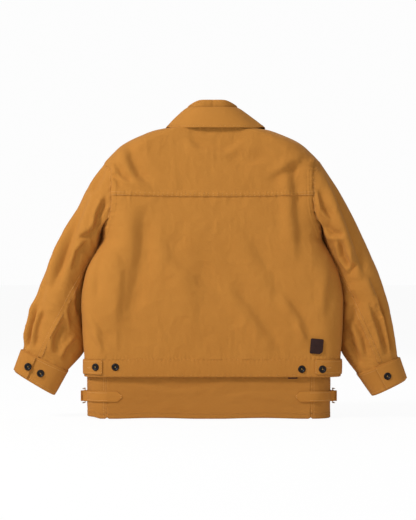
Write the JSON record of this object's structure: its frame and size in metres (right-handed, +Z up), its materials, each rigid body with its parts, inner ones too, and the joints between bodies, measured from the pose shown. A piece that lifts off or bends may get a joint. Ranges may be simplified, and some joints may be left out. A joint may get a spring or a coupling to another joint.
{
  "type": "canvas turnout coat",
  "caption": "Boxy canvas turnout coat with a short outer layer over a longer inner layer, stand and turned collars, waist tabs, side cinch straps and buttoned cuffs.",
  "frame": {"origin": "under the middle of the coat, on the plane of the inner layer's hem", "axes": "+X to the wearer's right, +Y to the wearer's front, +Z up"},
  "size_m": [0.9742, 0.175, 0.7832],
  "materials": {
    "canvas": "matte",
    "inner_canvas": "matte",
    "lining": "matte",
    "dark_cloth": "matte",
    "leather": "satin",
    "black_button": "gloss",
    "brass": "satin",
    "nickel": "satin"
  },
  "bodies": {
    "coat": {"back_panel": "canvas", "back_yoke": "canvas", "body_lining": "lining", "chest_button_tacks": "brass", "chest_buttons": "black_button", "clasp_pins": "nickel", "clasp_plates": "nickel", "clasp_rivets": "nickel", "dee_keepers": "canvas", "dee_rings": "nickel", "front_waist_button": "black_button", "front_waist_tack": "brass", "hanger_loop": "inner_canvas", "inner_back": "inner_canvas", "inner_label": "dark_cloth", "inner_left_front": "inner_canvas", "inner_left_side": "inner_canvas", "inner_right_front": "inner_canvas", "inner_right_side": "inner_canvas", "leather_patch": "leather", "left_chest_pocket": "canvas", "left_front_panel": "canvas", "left_pocket_welt": "canvas", "left_strap_base": "canvas", "left_waist_tab": "canvas", "outer_collar": "canvas", "right_chest_pocket": "canvas", "right_front_panel": "canvas", "right_pocket_welt": "canvas", "right_strap_base": "canvas", "right_waist_tab": "canvas", "stand_collar": "inner_canvas", "storm_placket": "canvas", "under_collar": "dark_cloth", "waist_button_tacks": "brass", "waist_buttons": "black_button", "waistband": "canvas"},
    "left_sleeve": {"left_top_sleeve": "canvas", "left_under_sleeve": "canvas", "left_cuff": "canvas", "left_cuff_flap": "canvas", "left_cuff_buttons": "black_button", "left_cuff_tacks": "brass"},
    "right_sleeve": {"right_top_sleeve": "canvas", "right_under_sleeve": "canvas", "right_cuff": "canvas", "right_cuff_flap": "canvas", "right_cuff_buttons": "black_button", "right_cuff_tacks": "brass"},
    "left_buckle": {"left_buckle": "nickel"},
    "right_buckle": {"right_buckle": "nickel"},
    "left_strap_tail": {"left_strap_tail": "canvas"},
    "right_strap_tail": {"right_strap_tail": "canvas"},
    "left_chest_flap": {"left_chest_flap": "canvas"},
    "right_chest_flap": {"right_chest_flap": "canvas"},
    "clasp_hook_1": {"clasp_hook_1": "nickel"},
    "clasp_hook_2": {"clasp_hook_2": "nickel"},
    "clasp_hook_3": {"clasp_hook_3": "nickel"},
    "clasp_hook_4": {"clasp_hook_4": "nickel"}
  },
  "joints": [
    {"name": "left_sleeve_swing", "type": "hinge", "parent": "coat", "child": "left_sleeve", "pos_m": [-0.251, -0.003, 0.642], "axis": [0, 1, 0], "range_deg": [0, 60]},
    {"name": "left_buckle_turn", "type": "hinge", "parent": "coat", "child": "left_buckle", "pos_m": [-0.3162, -0.007, 0.054], "axis": [0, 0, -1], "range_deg": [0, 70]},
    {"name": "left_strap_lift", "type": "hinge", "parent": "left_buckle", "child": "left_strap_tail", "pos_m": [-0.321, -0.028, 0.054], "axis": [0, 0, -1], "range_deg": [0, 90]},
    {"name": "left_chest_flap_lift", "type": "hinge", "parent": "coat", "child": "left_chest_flap", "pos_m": [-0.142, 0.0772, 0.56], "axis": [1, 0, 0], "range_deg": [0, 110]},
    {"name": "right_sleeve_swing", "type": "hinge", "parent": "coat", "child": "right_sleeve", "pos_m": [0.251, -0.003, 0.642], "axis": [0, -1, 0], "range_deg": [0, 60]},
    {"name": "right_buckle_turn", "type": "hinge", "parent": "coat", "child": "right_buckle", "pos_m": [0.2982, -0.007, 0.054], "axis": [0, 0, 1], "range_deg": [0, 70]},
    {"name": "right_strap_lift", "type": "hinge", "parent": "right_buckle", "child": "right_strap_tail", "pos_m": [0.303, -0.028, 0.054], "axis": [0, 0, 1], "range_deg": [0, 90]},
    {"name": "right_chest_flap_lift", "type": "hinge", "parent": "coat", "child": "right_chest_flap", "pos_m": [0.142, 0.0772, 0.56], "axis": [1, 0, 0], "range_deg": [0, 110]},
    {"name": "clasp_1_open", "type": "hinge", "parent": "coat", "child": "clasp_hook_1", "pos_m": [-0.009, 0.08288, 0.205], "axis": [0, 0, 1], "range_deg": [0, 150]},
    {"name": "clasp_2_open", "type": "hinge", "parent": "coat", "child": "clasp_hook_2", "pos_m": [-0.009, 0.0852, 0.32], "axis": [0, 0, 1], "range_deg": [0, 150]},
    {"name": "clasp_3_open", "type": "hinge", "parent": "coat", "child": "clasp_hook_3", "pos_m": [-0.009, 0.0852, 0.435], "axis": [0, 0, 1], "range_deg": [0, 150]},
    {"name": "clasp_4_open", "type": "hinge", "parent": "coat", "child": "clasp_hook_4", "pos_m": [-0.009, 0.08197, 0.55], "axis": [0, 0, 1], "range_deg": [0, 150]}
  ]
}
